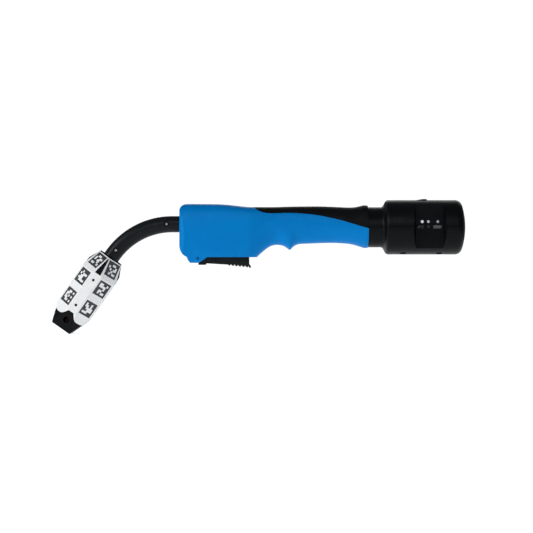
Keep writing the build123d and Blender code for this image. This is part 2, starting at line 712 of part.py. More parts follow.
def housing_profile(inset, rear_cut):
    """Half outline of the housing in the XZ plane, from the collar to the dome, moved in by the inset."""
    r = housing_radius - inset
    top = housing_end - inset
    round_here = dome_round - inset
    dome = dome_radius - inset
    centre = top - dome
    corner_r = r - round_here
    corner_x = centre + sqrt((dome - round_here) ** 2 - corner_r ** 2)
    lean = atan2(corner_r, corner_x - centre)
    dome_touch = (centre + dome * cos(lean), dome * sin(lean))
    corner_mid_angle = (pi / 2 + lean) / 2
    corner_mid = (corner_x + round_here * cos(corner_mid_angle), corner_r + round_here * sin(corner_mid_angle))
    dome_mid = (centre + dome * cos(lean / 2), dome * sin(lean / 2))
    neck_r = collar_radius - inset
    s0 = housing_start + collar_length + (inset * 0.4)
    s1 = body_start + inset * 0.6
    step = r - neck_r
    flow = Spline((s0, 0, neck_r), (s0 + 4.2, 0, neck_r + step * 0.62), (s1, 0, r),
                  tangents=[(1, 0, 0.15), (1, 0, 0)])
    lines = [Line((rear_cut, 0, 0), (rear_cut, 0, neck_r)), Line((rear_cut, 0, neck_r), (s0, 0, neck_r)), flow,
             Line((s1, 0, r), (corner_x, 0, r)),
             ThreePointArc((corner_x, 0, r), (corner_mid[0], 0, corner_mid[1]), (dome_touch[0], 0, dome_touch[1])),
             ThreePointArc((dome_touch[0], 0, dome_touch[1]), (dome_mid[0], 0, dome_mid[1]), (top, 0, 0)),
             Line((top, 0, 0), (rear_cut, 0, 0))]
    return make_face(lines)


def housing_solid(inset, rear_cut):
    face = housing_profile(inset, rear_cut)
    return Pos(0, 0, housing_axis) * revolve(face, axis=Axis.X)


def recess_cutter(inset):
    """Pocket in the housing's left side: drafted ends, and a floor like a shallow roof."""
    spread = tan(radians(recess_draft))
    deep = recess_floor - inset
    reach = housing_radius + 6
    x0, x1 = recess_start - inset, recess_start + recess_length + inset
    out = (reach - deep) * spread
    outline = Polyline((x0, -deep, 0), (x0 - out, -reach, 0), (x1 + out, -reach, 0), (x1, -deep, 0), close=True)
    pocket = extrude(Pos(0, 0, -60) * make_face(outline), amount=120, dir=(0, 0, 1))
    roof = tan(radians(recess_roof)) * 40
    ridge = Polyline((-60, -deep - 0.01), (-60, -deep + roof), (0, -deep), (60, -deep + roof),
                     (60, -reach - 10), (-60, -reach - 10), close=True)
    gable = extrude(make_face(ridge), amount=recess_length + 60)
    gable = Pos(recess_start - 20, 0, housing_axis) * Rot(0, 90, 0) * gable
    floor_back = extrude(Pos(0, 0, -60) * make_face(Polyline(
        (x0, -deep + 3, 0), (x0, -deep, 0), (x0 - out, -reach, 0), (x1 + out, -reach, 0), (x1, -deep, 0),
        (x1, -deep + 3, 0), close=True)), amount=120, dir=(0, 0, 1))
    return (pocket + floor_back) & gable


light_places = [250.0, 256.4, 266.2]
light_level = housing_axis + 5.4
light_radius = 1.5
slide_x = 248.8
button_x = 256.6
socket_x = 265.6
slide_travel = 1.0
button_travel = 0.5


def make_rear_shells():
    outer = housing_solid(0, housing_start)
    spigot = along_x(rear_rib_radius + 1.6, housing_start - spigot_reach, housing_start + 0.5, 0, housing_axis)
    solid = outer - recess_cutter(0) + spigot
    wedge = plate([(243, housing_axis + housing_radius - 0.6), (252, housing_axis + housing_radius + 0.9),
                   (255.5, housing_axis + housing_radius + 0.9), (257, housing_axis + housing_radius - 0.6)],
                  -4.5, 4.5)
    solid = solid + wedge
    hollow = housing_solid(housing_wall, housing_start - spigot_reach - 1)
    hollow = hollow - along_x(60, housing_start - 60, housing_start + 3, 0, housing_axis)
    hollow = hollow - recess_cutter(housing_wall)
    passage = along_x(rear_rib_radius - 3.4, housing_start - spigot_reach - 1, housing_start + 4, 0, housing_axis)
    solid = solid - hollow - passage
    groove = along_x(40, rear_rib_start - part_gap, rear_rib_start + rib_width + part_gap, 0, housing_axis)
    groove = groove - along_x(rear_rib_radius - slip_clearance, 0, 400, 0, housing_axis)
    solid = solid - (groove & block(100, housing_start - 1, -60, 60, -60, 60))
    inside = housing_solid(0.5, housing_start) - recess_cutter(-0.5)
    for x, y in case_screw_places:
        solid = solid + (upright(case_boss_radius, -60, 60, x, y) & inside)
    for x, y in board_screw_places:
        solid = solid + (upright(2.6, -60, board_top - board_thickness, x, y) & inside)
    upper = solid & block(0, 400, -60, 60, housing_axis + seam_gap, 80)
    lower = solid & block(0, 400, -60, 60, -80, housing_axis - seam_gap)
    for x, y in case_screw_places:
        lower = lower - upright(case_screw_head + 0.5, -80, case_screw_seat, x, y)
        lower = lower - upright(case_screw_radius + slip_clearance, -80, 0, x, y)
        upper = upper - upright(case_screw_radius, -10, housing_axis + 10, x, y)
    for x, y in board_screw_places:
        lower = lower - upright(1.0, board_top - board_thickness - 7, 0, x, y)
    for x in light_places:
        upper = upper - along_y(light_radius + slip_clearance, -30, -10, x, light_level)
    openings = block(socket_x - socket_half - slip_clearance, socket_x + socket_half + slip_clearance, -30,
                     -10, housing_axis - socket_height / 2 - slip_clearance,
                     housing_axis + socket_height / 2 + slip_clearance)
    slide_half = slide_width / 2 + slide_travel + part_gap
    openings = openings + block(slide_x - slide_half, slide_x + slide_half, -30, -10,
                                housing_axis - slide_height / 2 - part_gap,
                                housing_axis + slide_height / 2 + part_gap)
    openings = openings + along_y(button_radius + part_gap, -30, -10, button_x, housing_axis)
    return upper - openings, lower - openings


socket_half = 4.47
socket_height = 3.16
slide_width = 2.6
slide_height = 2.2
button_radius = 1.8


def make_case_screws():
    screws = []
    for x, y in case_screw_places:
        screw = upright(case_screw_head, case_screw_seat - 2.2, case_screw_seat, x, y)
        screw = screw + upright(case_screw_radius, case_screw_seat, housing_axis + 9, x, y)
        screws.append(screw - upright(1.2, case_screw_seat - 3, case_screw_seat - 1, x, y))
    return Compound(screws)


def make_board():
    edge = -board_edge + housing_wall + 0.6
    board = block(board_x0, board_x1, edge, board_half, board_top - board_thickness, board_top)
    wings = block(board_x0, recess_start - 6, -board_half, edge, board_top - board_thickness, board_top)
    board = board + wings
    keep_in = along_x(housing_radius - housing_wall - 1.2, 200, board_x1 + 1, 0, housing_axis)
    board = board & keep_in
    for x, y in case_screw_places:
        board = board - upright(case_boss_radius + part_gap, -30, 30, x, y)
    for x, y in board_screw_places:
        board = board - upright(1.3, -30, 30, x, y)
    return board


def make_board_screws():
    screws = []
    for x, y in board_screw_places:
        screw = upright(1.0, board_top - board_thickness - 6.5, board_top, x, y)
        screws.append(screw + upright(2.2, board_top, board_top + 1.5, x, y))
    return Compound(screws)


board_front = -board_edge + housing_wall + 0.6
control_front = -board_edge + 1.2


def make_socket():
    body = block(socket_x - socket_half, socket_x + socket_half, control_front - 1.0, board_front + 3.9,
                 board_top, board_top + socket_height)
    body = fillet(body.edges().filter_by(Axis.Y), 1.5)
    mouth_cut = block(socket_x - socket_half + 0.35, socket_x + socket_half - 0.35, control_front - 2,
                      board_front + 3.0, board_top + 0.35, board_top + socket_height - 0.35)
    mouth_cut = fillet(mouth_cut.edges().filter_by(Axis.Y), 1.2)
    tongue = block(socket_x - 3.3, socket_x + 3.3, control_front, board_front + 3.5, housing_axis - 0.35,
                   housing_axis + 0.35)
    return body - mouth_cut + tongue


def make_power_switch():
    body = block(slide_x - 3.6, slide_x + 3.6, board_front + 0.2, board_front + 3.2, board_top, board_top + 3.3)
    track = block(slide_x - slide_width / 2 - slide_travel - 0.15, slide_x + slide_width / 2 + slide_travel + 0.15,
                  board_front - 1, board_front + 1.8, housing_axis - slide_height / 2 - 0.1,
                  housing_axis + slide_height / 2 + 0.1)
    knob = block(slide_x - slide_width / 2, slide_x + slide_width / 2, control_front, board_front + 1.6,
                 housing_axis - slide_height / 2, housing_axis + slide_height / 2)
    ridges = [block(slide_x + dx - 0.2, slide_x + dx + 0.2, control_front - 0.3, control_front,
                    housing_axis - slide_height / 2, housing_axis + slide_height / 2)
              for dx in (-0.9, 0, 0.9)]
    return body - track, knob + ridges


def make_pair_switch():
    body = block(button_x - 2.2, button_x + 2.2, board_front + 0.8, board_front + 3.6, board_top, board_top + 3.6)
    well = along_y(1.3, board_front, board_front + 2.4, button_x, housing_axis)
    cap_back = board_front - button_travel - part_gap
    cap = along_y(button_radius, control_front - 0.4, cap_back, button_x, housing_axis)
    cap = cap + along_y(1.2, cap_back - 0.1, board_front + 1.6, button_x, housing_axis)
    return body - well, fillet(cap.faces().sort_by(Axis.Y)[0].edges(), 0.4)


light_board_front = board_front + 2.1
light_chip = 0.7


def make_light(x):
    """Round lens pin that shows a lamp through the recess floor."""
    front = control_front - 0.9
    lens = along_y(light_radius, front, light_board_front - light_chip - 0.1, x, light_level)
    return lens + Pos(x, front, light_level) * Sphere(light_radius)


def make_light_board():
    """Upright board that carries the three lamps above the sockets."""
    x0, x1 = light_places[0] - 4, light_places[-1] + 3.4
    return block(x0, x1, light_board_front, light_board_front + 1.0, housing_axis + 2.3, light_level + 3.6)


def make_light_chips():
    return Compound([block(x - 1.4, x + 1.4, light_board_front - light_chip, light_board_front,
                           light_level - 1.0, light_level + 1.0) for x in light_places])


battery_x0, battery_x1 = 236.5, 263.5


def make_battery():
    top = board_top - board_thickness - 2.0
    cell = block(battery_x0, battery_x1, -15.5, 15.5, top - 9.0, top)
    cell = fillet(cell.edges().filter_by(Axis.X), 3.0)
    pad = block(battery_x0 + 2, battery_x1 - 2, -12, 12, top - 11.0, top - 9.0)
    return cell, pad


def make_battery_cradle():
    """Two cross walls that stand in the lower shell under the pad."""
    top = board_top - board_thickness - 13.0
    keep_in = along_x(housing_radius - housing_wall - 0.2, 200, 300, 0, housing_axis)
    walls = [block(x, x + 2, -14.5, 18, -40, top) for x in (battery_x0 + 4, battery_x1 - 6)]
    base = block(battery_x0 + 2, battery_x1 - 2, -14, 14, top - 1.6, top)
    return (walls[0] + walls[1] + base) & keep_in


def make_connector():
    x = board_x0 + 9
    shell = block(x, x + 4.4, -3.9, 3.9, board_top, board_top + 5.5)
    return shell - block(x + 0.7, x + 3.7, -3.2, 3.2, board_top + 1.2, board_top + 7)


def make_radio_module():
    x0 = battery_x0 + 3
    can = block(x0, x0 + 14, 3, 14, board_top, board_top + 2.2)
    return fillet(can.edges().filter_by(Axis.Z), 0.8)


def build_nodes():
    nodes = {}
    outer = handle_body(0)
    skinned = grip_loft(saddle_skin)
    nodes["handle_left"], nodes["handle_right"] = make_handle(outer, skinned)
    nodes["grip_saddle"] = make_saddle(outer, skinned)
    nodes["handle_screws"] = make_handle_screws()
    nodes["neck_shell_left"], nodes["neck_shell_right"] = make_neck()
    nodes["neck_spine"] = make_spine()
    nodes["neck_screws"] = make_neck_screws()
    nodes["neck_clamp_ring"] = make_clamp_ring()
    nodes["neck_clamp_screw"] = make_clamp_screw()
    nodes["neck_seal"] = make_neck_seal()
    nodes["head_shell_left"], nodes["head_shell_right"] = make_head_shells()
    nodes["head_screws"] = make_head_screws()
    nodes["marker_label_left"], nodes["marker_label_right"] = make_labels()
    nodes["nozzle_ring"] = make_nozzle_ring()
    nodes["tip_holder"] = make_tip_holder()
    nodes["contact_tip"] = make_contact_tip()
    nodes["trigger"] = make_trigger()
    nodes["trigger_pin"] = make_trigger_pin()
    nodes["trigger_spring"] = make_trigger_spring()
    nodes["microswitch_body"], nodes["microswitch_plunger"] = make_microswitch()
    nodes["microswitch_terminals"] = make_terminals()
    nodes["microswitch_screws"] = make_switch_screws()
    nodes["switch_leads"] = make_switch_leads()
    nodes["rear_shell_upper"], nodes["rear_shell_lower"] = make_rear_shells()
    nodes["rear_shell_screws"] = make_case_screws()
    nodes["control_board"] = make_board()
    nodes["board_screws"] = make_board_screws()
    nodes["charging_socket"] = make_socket()
    nodes["power_switch_body"], nodes["power_slide"] = make_power_switch()
    nodes["pair_switch_body"], nodes["pair_button"] = make_pair_switch()
    for place, x in zip(("front", "middle", "rear"), light_places):
        nodes["status_light_" + place] = make_light(x)
    nodes["light_board"] = make_light_board()
    nodes["light_chips"] = make_light_chips()
    nodes["battery_pack"], nodes["battery_pad"] = make_battery()
    nodes["battery_cradle"] = make_battery_cradle()
    nodes["battery_connector"] = make_connector()
    nodes["radio_module"] = make_radio_module()
    return nodes


def to_mouth(shape):
    """Moves a piece so that the nozzle's mouth is the origin."""
    return Pos(-mouth.X, -mouth.Y, -mouth.Z) * shape


os.makedirs("parts", exist_ok=True)
for name, shape in build_nodes().items():
    export_step(to_mouth(shape), "parts/" + name + ".step")
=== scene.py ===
import json
import math
import bmesh
import bpy
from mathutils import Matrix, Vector


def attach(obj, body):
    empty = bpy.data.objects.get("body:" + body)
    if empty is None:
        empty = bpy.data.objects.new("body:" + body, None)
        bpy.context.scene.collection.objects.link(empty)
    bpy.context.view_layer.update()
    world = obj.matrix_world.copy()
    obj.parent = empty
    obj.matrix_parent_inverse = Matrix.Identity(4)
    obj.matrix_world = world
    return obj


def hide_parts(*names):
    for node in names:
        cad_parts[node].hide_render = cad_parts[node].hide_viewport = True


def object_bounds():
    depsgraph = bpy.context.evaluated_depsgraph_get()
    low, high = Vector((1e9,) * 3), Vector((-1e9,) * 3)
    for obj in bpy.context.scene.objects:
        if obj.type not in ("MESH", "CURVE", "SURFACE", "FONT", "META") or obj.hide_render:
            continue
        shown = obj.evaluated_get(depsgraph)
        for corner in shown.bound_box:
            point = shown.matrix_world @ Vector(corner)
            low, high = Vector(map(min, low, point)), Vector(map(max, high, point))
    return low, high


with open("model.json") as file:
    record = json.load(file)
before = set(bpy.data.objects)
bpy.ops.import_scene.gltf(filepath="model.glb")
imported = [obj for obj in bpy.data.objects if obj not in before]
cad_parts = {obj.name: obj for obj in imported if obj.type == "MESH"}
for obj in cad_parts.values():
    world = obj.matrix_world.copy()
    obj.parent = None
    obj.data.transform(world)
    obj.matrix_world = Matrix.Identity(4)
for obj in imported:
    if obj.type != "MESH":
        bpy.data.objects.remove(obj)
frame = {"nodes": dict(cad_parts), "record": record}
bpy.context.view_layer.update()
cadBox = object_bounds()
nodes = frame["nodes"]
record = frame["record"]
print("frame loaded:", len(nodes), "pieces")


def makeCamera():
    view = dict(lens=100.0, sensor=36.0, distance=1.54, aimX=0.21273, aimZ=0.06369)
    data = bpy.data.cameras.new("benchCamera")
    data.lens = view["lens"]
    data.sensor_width = view["sensor"]
    data.clip_start = 0.01
    data.clip_end = 30.0
    camera = bpy.data.objects.new("benchCamera", data)
    camera.location = (view["aimX"], -view["distance"], view["aimZ"])
    camera.rotation_euler = (math.radians(90), 0, 0)
    bpy.context.scene.collection.objects.link(camera)
    bpy.context.scene.camera = camera


def addSoftBox(name, look):
    data = bpy.data.lights.new(name, "AREA")
    data.shape = "RECTANGLE"
    data.size, data.size_y = look["size"]
    data.energy = look["power"]
    lamp = bpy.data.objects.new(name, data)
    lamp.location = look["place"]
    lamp.rotation_euler = (Vector(look["aim"]) - Vector(look["place"])).to_track_quat("-Z", "Y").to_euler()
    lamp.visible_camera = False
    bpy.context.scene.collection.objects.link(lamp)


makeCamera()
scene = bpy.context.scene
scene.view_settings.view_transform = "Standard"


class Value:
    # wraps one output socket so that finishes read as plain sums
    def __init__(self, shade, socket):
        self.shade = shade
        self.socket = socket

    def math(self, operation, other=None, swap=False):
        pair = [self] if other is None else ([other, self] if swap else [self, other])
        return self.shade.add("ShaderNodeMath", {"operation": operation}, dict(enumerate(pair)))

    def __add__(self, other): return self.math("ADD", other)
    def __radd__(self, other): return self.math("ADD", other)
    def __sub__(self, other): return self.math("SUBTRACT", other)
    def __rsub__(self, other): return self.math("SUBTRACT", other, True)
    def __mul__(self, other): return self.math("MULTIPLY", other)
    def __rmul__(self, other): return self.math("MULTIPLY", other)
    def __truediv__(self, other): return self.math("DIVIDE", other)
    def __gt__(self, other): return self.math("GREATER_THAN", other)
    def __lt__(self, other): return self.math("LESS_THAN", other)
    def __abs__(self): return self.math("ABSOLUTE")
    def __floor__(self): return self.math("FLOOR")


class Shade:
    def __init__(self, name):
        self.material = bpy.data.materials.new(name)
        self.material.use_nodes = True
        self.tree = self.material.node_tree
        self.tree.nodes.clear()

    def add(self, kind, settings=None, inputs=None, out=0):
        node = self.tree.nodes.new(kind)
        for key, value in (settings or {}).items():
            if key == "stops":
                ramp = node.color_ramp.elements
                while len(ramp) < len(value):
                    ramp.new(0.5)
                for stop, (place, color) in zip(ramp, value):
                    stop.position = place
                    stop.color = color
            else:
                setattr(node, key, value)
        for key, value in (inputs or {}).items():
            socket = node.inputs[key]
            if isinstance(value, Value):
                self.tree.links.new(value.socket, socket)
            else:
                socket.default_value = value
        return Value(self, node.outputs[out] if len(node.outputs) else None)

    def place(self):
        return self.add("ShaderNodeTexCoord", out="Object")

    def stretched(self, scale, turn=(0, 0, 0)):
        return self.add("ShaderNodeMapping", {}, {"Vector": self.place(), "Rotation": turn, "Scale": scale})

    def noise(self, size, detail=3.0, rough=0.5, vector=None):
        return self.add("ShaderNodeTexNoise", {}, {
            "Vector": vector or self.place(), "Scale": 1.0 / size, "Detail": detail, "Roughness": rough})

    def band(self, value, low, high, first=0.0, last=1.0):
        return self.add("ShaderNodeMapRange", {"clamp": True}, {
            "Value": value, "From Min": low, "From Max": high, "To Min": first, "To Max": last})

    def blend(self, factor, first, last, kind="MIX"):
        node = self.tree.nodes.new("ShaderNodeMix")
        node.data_type = "RGBA"
        node.blend_type = kind
        for key, value in ((0, factor), (6, first), (7, last)):
            if isinstance(value, Value):
                self.tree.links.new(value.socket, node.inputs[key])
            else:
                node.inputs[key].default_value = value
        return Value(self, node.outputs[2])

    def dot(self, vector, direction):
        node = self.tree.nodes.new("ShaderNodeVectorMath")
        node.operation = "DOT_PRODUCT"
        self.tree.links.new(vector.socket, node.inputs[0])
        node.inputs[1].default_value = direction
        return Value(self, node.outputs["Value"])

    def bump(self, height, strength, distance):
        return self.add("ShaderNodeBump", {}, {"Height": height, "Strength": strength, "Distance": distance})

    def finish(self, **inputs):
        surface = self.add("ShaderNodeBsdfPrincipled", {}, inputs)
        self.add("ShaderNodeOutputMaterial", {}, {"Surface": surface})
        return self.material


def solid(color):
    return (*color, 1.0)


# moulded plastic and rubber: a fine grain, handling marks that polish it, and darker clouds at random
def mouldedPlastic(name, look):
    shade = Shade(name)
    grain = shade.noise(look["grain"], 2.0)
    cloud = shade.noise(look["grain"] * 90, 4.0)
    rub = shade.noise(look["grain"] * 28, 5.0, 0.62)
    polished = shade.band(rub, 0.46, 0.66)
    worn = shade.blend(polished * look["rubbed"], solid(look["color"]), solid(look["worn"]))
    color = shade.blend(shade.band(cloud, 0.35, 0.65) * look["clouds"], worn, solid(look["deep"]))
    rough = look["rough"] + (grain - 0.5) * look["roughVary"] - polished * look["polish"]
    height = grain + shade.noise(look["grain"] * 7, 2.0) * 0.5
    return shade.finish(**{
        "Base Color": color, "Roughness": rough, "Specular IOR Level": look["specular"],
        "Normal": shade.bump(height, look["bump"], look["grain"] * 0.35)})


# turned or pressed metal: fine drawn lines with small nicks
def drawnMetal(name, look):
    shade = Shade(name)
    lines = shade.noise(0.0006, 3.0, vector=shade.stretched(look["stretch"]))
    nicks = shade.band(shade.noise(0.0011, 4.0), 0.60, 0.70)
    tarnish = shade.band(shade.noise(0.004, 4.0), 0.35, 0.75)
    color = shade.blend(tarnish * look["tarnish"], solid(look["color"]), solid(look["deep"]))
    rough = look["rough"] + (lines - 0.5) * 0.22 + nicks * 0.12
    return shade.finish(**{
        "Base Color": color, "Metallic": 1.0, "Roughness": rough,
        "Normal": shade.bump(lines - nicks * 0.6, look["bump"], 0.00005)})


plastics = {
    "blueShell": dict(color=(0.0, 0.178, 0.515), worn=(0.0, 0.195, 0.545),
                      deep=(0.0, 0.160, 0.485), grain=0.00042,
                      clouds=0.5, rubbed=0.6, rough=0.40, roughVary=0.14, polish=0.06, bump=0.16,
                      specular=0.05),
    "softGrip": dict(color=(0.0030, 0.0042, 0.0048), worn=(0.0050, 0.0064, 0.0070),
                     deep=(0.0018, 0.0028, 0.0034), grain=0.00036,
                     clouds=0.6, rubbed=0.7, rough=0.58, roughVary=0.18, polish=0.10, bump=0.30,
                     specular=0.07),
    "blackShell": dict(color=(0.0028, 0.0038, 0.0046), worn=(0.0055, 0.0068, 0.0078),
                       deep=(0.0016, 0.0024, 0.0030), grain=0.00040,
                       clouds=0.6, rubbed=0.7, rough=0.36, roughVary=0.16, polish=0.08, bump=0.24,
                       specular=0.08),
    "neckBlack": dict(color=(0.0062, 0.0084, 0.0098), worn=(0.0090, 0.0112, 0.0126),
                      deep=(0.0046, 0.0066, 0.0076), grain=0.00030,
                      clouds=0.5, rubbed=0.7, rough=0.38, roughVary=0.12, polish=0.08, bump=0.12,
                      specular=0.10),
    "triggerBlack": dict(color=(0.0070, 0.0082, 0.0090), worn=(0.016, 0.018, 0.019),
                         deep=(0.0045, 0.0055, 0.0062), grain=0.00030,
                         clouds=0.6, rubbed=0.8, rough=0.42, roughVary=0.14, polish=0.12, bump=0.18,
                         specular=0.16),
    "sealRubber": dict(color=(0.010, 0.010, 0.010), worn=(0.020, 0.020, 0.020),
                       deep=(0.006, 0.006, 0.006), grain=0.00025,
                       clouds=0.6, rubbed=0.5, rough=0.74, roughVary=0.14, polish=0.04, bump=0.22,
                       specular=0.20),
    "switchBlack": dict(color=(0.014, 0.014, 0.015), worn=(0.024, 0.024, 0.025),
                        deep=(0.009, 0.009, 0.010), grain=0.00022,
                        clouds=0.4, rubbed=0.5, rough=0.40, roughVary=0.12, polish=0.06, bump=0.12,
                        specular=0.35),
    "plungerRed": dict(color=(0.42, 0.025, 0.020), worn=(0.50, 0.050, 0.040),
                       deep=(0.33, 0.015, 0.012), grain=0.00020,
                       clouds=0.5, rubbed=0.5, rough=0.36, roughVary=0.10, polish=0.06, bump=0.10,
                       specular=0.45),
    "connectorWhite": dict(color=(0.66, 0.65, 0.61), worn=(0.72, 0.71, 0.68),
                           deep=(0.56, 0.55, 0.50), grain=0.00022,
                           clouds=0.5, rubbed=0.4, rough=0.42, roughVary=0.10, polish=0.05, bump=0.10,
                           specular=0.45),
    "padFoam": dict(color=(0.060, 0.062, 0.066), worn=(0.085, 0.087, 0.090),
                    deep=(0.035, 0.036, 0.040), grain=0.00050,
                    clouds=0.6, rubbed=0.5, rough=0.90, roughVary=0.10, polish=0.02, bump=0.70,
                    specular=0.15),
    "cableSheath": dict(color=(0.016, 0.016, 0.017), worn=(0.026, 0.026, 0.027),
                        deep=(0.010, 0.010, 0.011), grain=0.00025,
                        clouds=0.4, rubbed=0.6, rough=0.50, roughVary=0.12, polish=0.08, bump=0.14,
                        specular=0.35),
}
metals = {
    "brightSteel": dict(color=(0.62, 0.63, 0.64), deep=(0.40, 0.41, 0.42),
                        tarnish=0.5, rough=0.26, bump=0.25, stretch=(1, 1, 8)),
    "screwBlack": dict(color=(0.035, 0.036, 0.038), deep=(0.018, 0.018, 0.019),
                       tarnish=0.6, rough=0.40, bump=0.25, stretch=(1, 1, 8)),
    "springSteel": dict(color=(0.46, 0.46, 0.46), deep=(0.28, 0.27, 0.26),
                        tarnish=0.6, rough=0.30, bump=0.25, stretch=(1, 1, 6)),
    "yellowBrass": dict(color=(0.66, 0.46, 0.17), deep=(0.42, 0.28, 0.10),
                        tarnish=0.6, rough=0.30, bump=0.25, stretch=(1, 6, 1)),
    "redCopper": dict(color=(0.72, 0.34, 0.20), deep=(0.42, 0.18, 0.11),
                      tarnish=0.7, rough=0.33, bump=0.30, stretch=(1, 6, 1)),
    "sootyCopper": dict(color=(0.050, 0.030, 0.022), deep=(0.022, 0.014, 0.011),
                        tarnish=0.8, rough=0.55, bump=0.30, stretch=(1, 6, 1)),
    "bareAluminium": dict(color=(0.72, 0.73, 0.74), deep=(0.55, 0.56, 0.57),
                          tarnish=0.5, rough=0.34, bump=0.25, stretch=(1, 1, 8)),
    "canSteel": dict(color=(0.34, 0.35, 0.36), deep=(0.20, 0.21, 0.22),
                     tarnish=0.4, rough=0.24, bump=0.20, stretch=(8, 1, 1)),
}

finishes = {name: mouldedPlastic(name, look) for name, look in plastics.items()}
finishes.update({name: drawnMetal(name, look) for name, look in metals.items()})


# the wrapped label: satin film with three square block marks on each of the four broad faces
mouthMount = next(m for m in record["mounts"] if m["name"] == "nozzle_bore")
headAxis = Vector(mouthMount["axis"]).normalized()


def labelFilm():
    look = dict(film=(0.74, 0.755, 0.76), shaded=(0.69, 0.705, 0.715),
                ink=(0.030, 0.034, 0.038), fadedInk=(0.044, 0.048, 0.052),
                side=0.01625, blocks=7, centres=(0.0795, 0.0573, 0.0327), fill=0.50,
                rearSqueeze=0.947, faceSeeds=(3, 5, 7), rowSeed=17.0, seedStart=2.5)
    shade = Shade("labelFilm")
    across = Vector((0, 1, 0))
    down = headAxis.cross(across)
    point = shade.place()
    along = shade.dot(point, tuple(-headAxis))
    first = shade.dot(point, tuple((across + down).normalized()))
    second = shade.dot(point, tuple((across - down).normalized()))
    onFirst = abs(first) > abs(second)
    sideways = onFirst * second + (1 - onFirst) * first
    seeds = look["faceSeeds"]   # each broad face draws its own blocks
    outward = onFirst * (first > 0) * seeds[0] + (1 - onFirst) * (seeds[1] + (second > 0) * seeds[2])
    block = look["side"] / look["blocks"]
    column = math.floor((sideways + look["side"] / 2) / block)
    ink = None
    for count, centre in enumerate(look["centres"]):
        # the first marks stand on the sloping rear faces
        squeeze = look["rearSqueeze"] if count == 0 else 1.0
        row = math.floor(((along - centre) / squeeze + look["side"] / 2) / block)
        last = look["blocks"] - 0.5
        inside = (row > -0.5) * (row < last) * (column > -0.5) * (column < last)
        middle = (row > 0.5) * (row < last - 1.0) * (column > 0.5) * (column < last - 1.0)
        cell = shade.add("ShaderNodeCombineXYZ", {}, {
            "X": column + 0.5, "Y": row + 0.5, "Z": outward + (count * look["rowSeed"] + look["seedStart"])})
        draw = shade.add("ShaderNodeTexWhiteNoise", {"noise_dimensions": "3D"}, {"Vector": cell})
        bare = draw > 1.0 - look["fill"]
        dark = inside * (1 - middle * bare)
        ink = dark if ink is None else ink + dark
    fibre = shade.noise(0.0004, 3.0)
    smudge = shade.band(shade.noise(0.009, 5.0, 0.6), 0.42, 0.70)
    paper = shade.blend(smudge * 0.55, solid(look["film"]), solid(look["shaded"]))
    fade = shade.band(shade.noise(0.0015, 4.0), 0.4, 0.7)
    printed = shade.blend(fade, solid(look["ink"]), solid(look["fadedInk"]))
    color = shade.blend(ink, paper, printed)
    rough = 0.50 + (fibre - 0.5) * 0.14 - smudge * 0.06 + ink * 0.06
    return shade.finish(**{"Base Color": color, "Roughness": rough, "Specular IOR Level": 0.25,
                           "Normal": shade.bump(fibre + ink * 0.6, 0.10, 0.00008)})


def circuitBoard():
    look = dict(mask=(0.012, 0.115, 0.045), track=(0.030, 0.205, 0.085), pad=(0.70, 0.66, 0.52), rough=0.36)
    shade = Shade("circuitBoard")
    point = shade.place()
    wave = shade.add("ShaderNodeTexWave", {"bands_direction": "X"}, {
        "Vector": point, "Scale": 420.0, "Distortion": 3.0, "Detail": 2.0})
    cells = shade.add("ShaderNodeTexVoronoi", {"distance": "MANHATTAN"}, {"Vector": point, "Scale": 380.0})
    tracks = shade.band(wave, 0.55, 0.60) * (1 - shade.band(cells, 0.2, 0.3))
    pads = cells < 0.10
    color = shade.blend(tracks * 0.8, solid(look["mask"]), solid(look["track"]))
    color = shade.blend(pads, color, solid(look["pad"]))
    return shade.finish(**{
        "Base Color": color, "Metallic": pads * 0.9,
        "Roughness": look["rough"] + shade.noise(0.002, 3.0) * 0.12,
        "Normal": shade.bump(tracks + pads, 0.25, 0.00004)})


def batteryFoil():
    look = dict(dull=(0.52, 0.53, 0.55), bright=(0.66, 0.67, 0.69), rough=0.24, crinkle=0.003)
    shade = Shade("batteryFoil")
    crinkle = shade.noise(look["crinkle"], 6.0, 0.65)
    color = shade.blend(shade.band(crinkle, 0.35, 0.65), solid(look["dull"]), solid(look["bright"]))
    return shade.finish(**{"Base Color": color, "Metallic": 0.85, "Roughness": look["rough"] + crinkle * 0.22,
                           "Normal": shade.bump(crinkle, 0.45, 0.0003)})


# the status lenses glow to paint their highlights: emission strength stands in for the glints, brightest on
# the front lens and dimmest on the rear
glintLenses = {
    "status_light_front": dict(finish="brightPaintedGlint", glow=0.55, tint=(0.62, 0.66, 0.72)),
    "status_light_middle": dict(finish="halfPaintedGlint", glow=0.22, tint=(0.42, 0.45, 0.50)),
    "status_light_rear": dict(finish="dimPaintedGlint", glow=0.12, tint=(0.34, 0.37, 0.41)),
}


# a clear lens whose emission is a painted highlight, not light from inside it
def paintedGlintLens(name, look):
    shade = Shade(name)
    haze = shade.noise(0.0005, 3.0)
    dull = tuple(c * 0.8 for c in look["tint"])
    glow = shade.blend(shade.band(haze, 0.3, 0.7), solid(dull), solid(look["tint"]))
    return shade.finish(**{
        "Base Color": glow, "Roughness": 0.16 + haze * 0.12, "Emission Color": glow,
        "Emission Strength": look["glow"], "Coat Weight": 0.6, "Normal": shade.bump(haze, 0.08, 0.00003)})


finishes["labelFilm"] = labelFilm()
finishes["circuitBoard"] = circuitBoard()
finishes["batteryFoil"] = batteryFoil()
for look in glintLenses.values():
    finishes[look["finish"]] = paintedGlintLens(look["finish"], look)
print("finishes made:", len(finishes))

